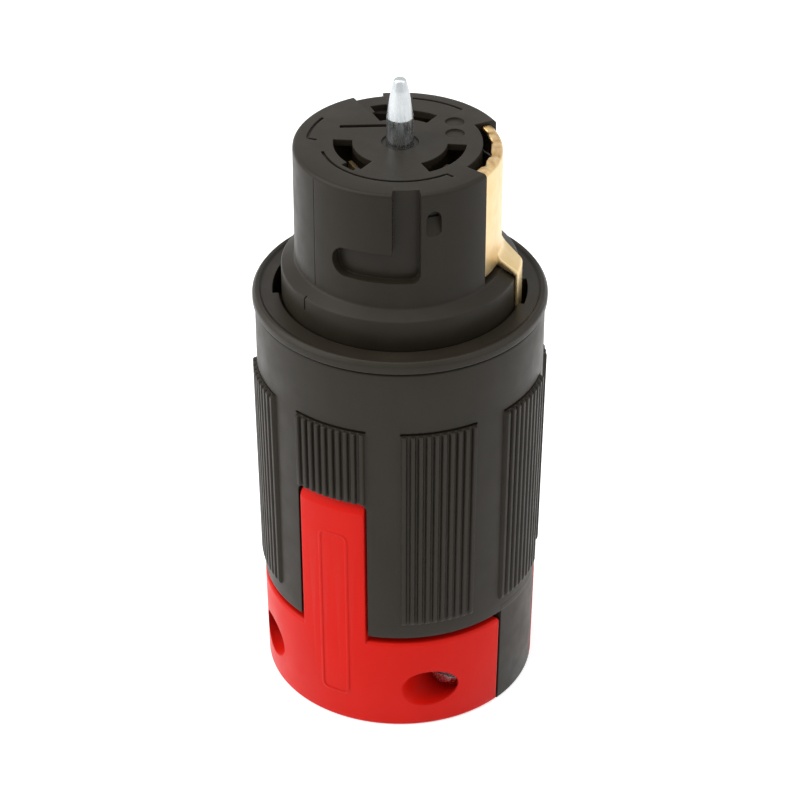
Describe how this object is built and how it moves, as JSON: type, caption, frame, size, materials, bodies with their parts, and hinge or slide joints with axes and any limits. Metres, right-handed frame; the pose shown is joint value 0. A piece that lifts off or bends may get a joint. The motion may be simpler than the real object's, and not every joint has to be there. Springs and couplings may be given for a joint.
{
  "type": "locking power connector",
  "caption": "Round locking power connector with a ribbed black housing, a moulded nose with arc slots and bayonet channels, a brass ground strip, a pilot pin and a red split cord clamp.",
  "frame": {"origin": "centre of the underside of the cord end", "axes": "+Z along the connector's axis, from the cord end to the nose; -Y through the middle of the front tongue of the cord clamp"},
  "size_m": [0.0714, 0.0714, 0.1647],
  "materials": {
    "housing_plastic": "fine moulded satin",
    "nose_plastic": "smooth moulded satin",
    "clamp_plastic": "smooth moulded, slightly glossy",
    "brass": "formed sheet, satin",
    "nickel": "nickel plated, turned",
    "steel": "plain"
  },
  "bodies": {
    "root": {"body_housing": "housing_plastic", "contact_nose": "nose_plastic", "terminal_carrier": "nose_plastic", "ground_contact": "brass", "line_contact_a": "brass", "line_contact_b": "brass", "line_contact_c": "brass", "contact_spring_a": "steel", "contact_spring_b": "steel", "contact_spring_c": "steel", "wire_plate_a": "steel", "wire_plate_b": "steel", "wire_plate_c": "steel", "line_terminal_screws": "steel", "ground_spring": "steel", "ground_terminal_screw": "steel", "pilot_pin": "nickel", "assembly_screws": "steel", "cord_clamp_front": "clamp_plastic", "cord_clamp_rear": "clamp_plastic", "clamp_screws": "nickel"}
  },
  "joints": []
}
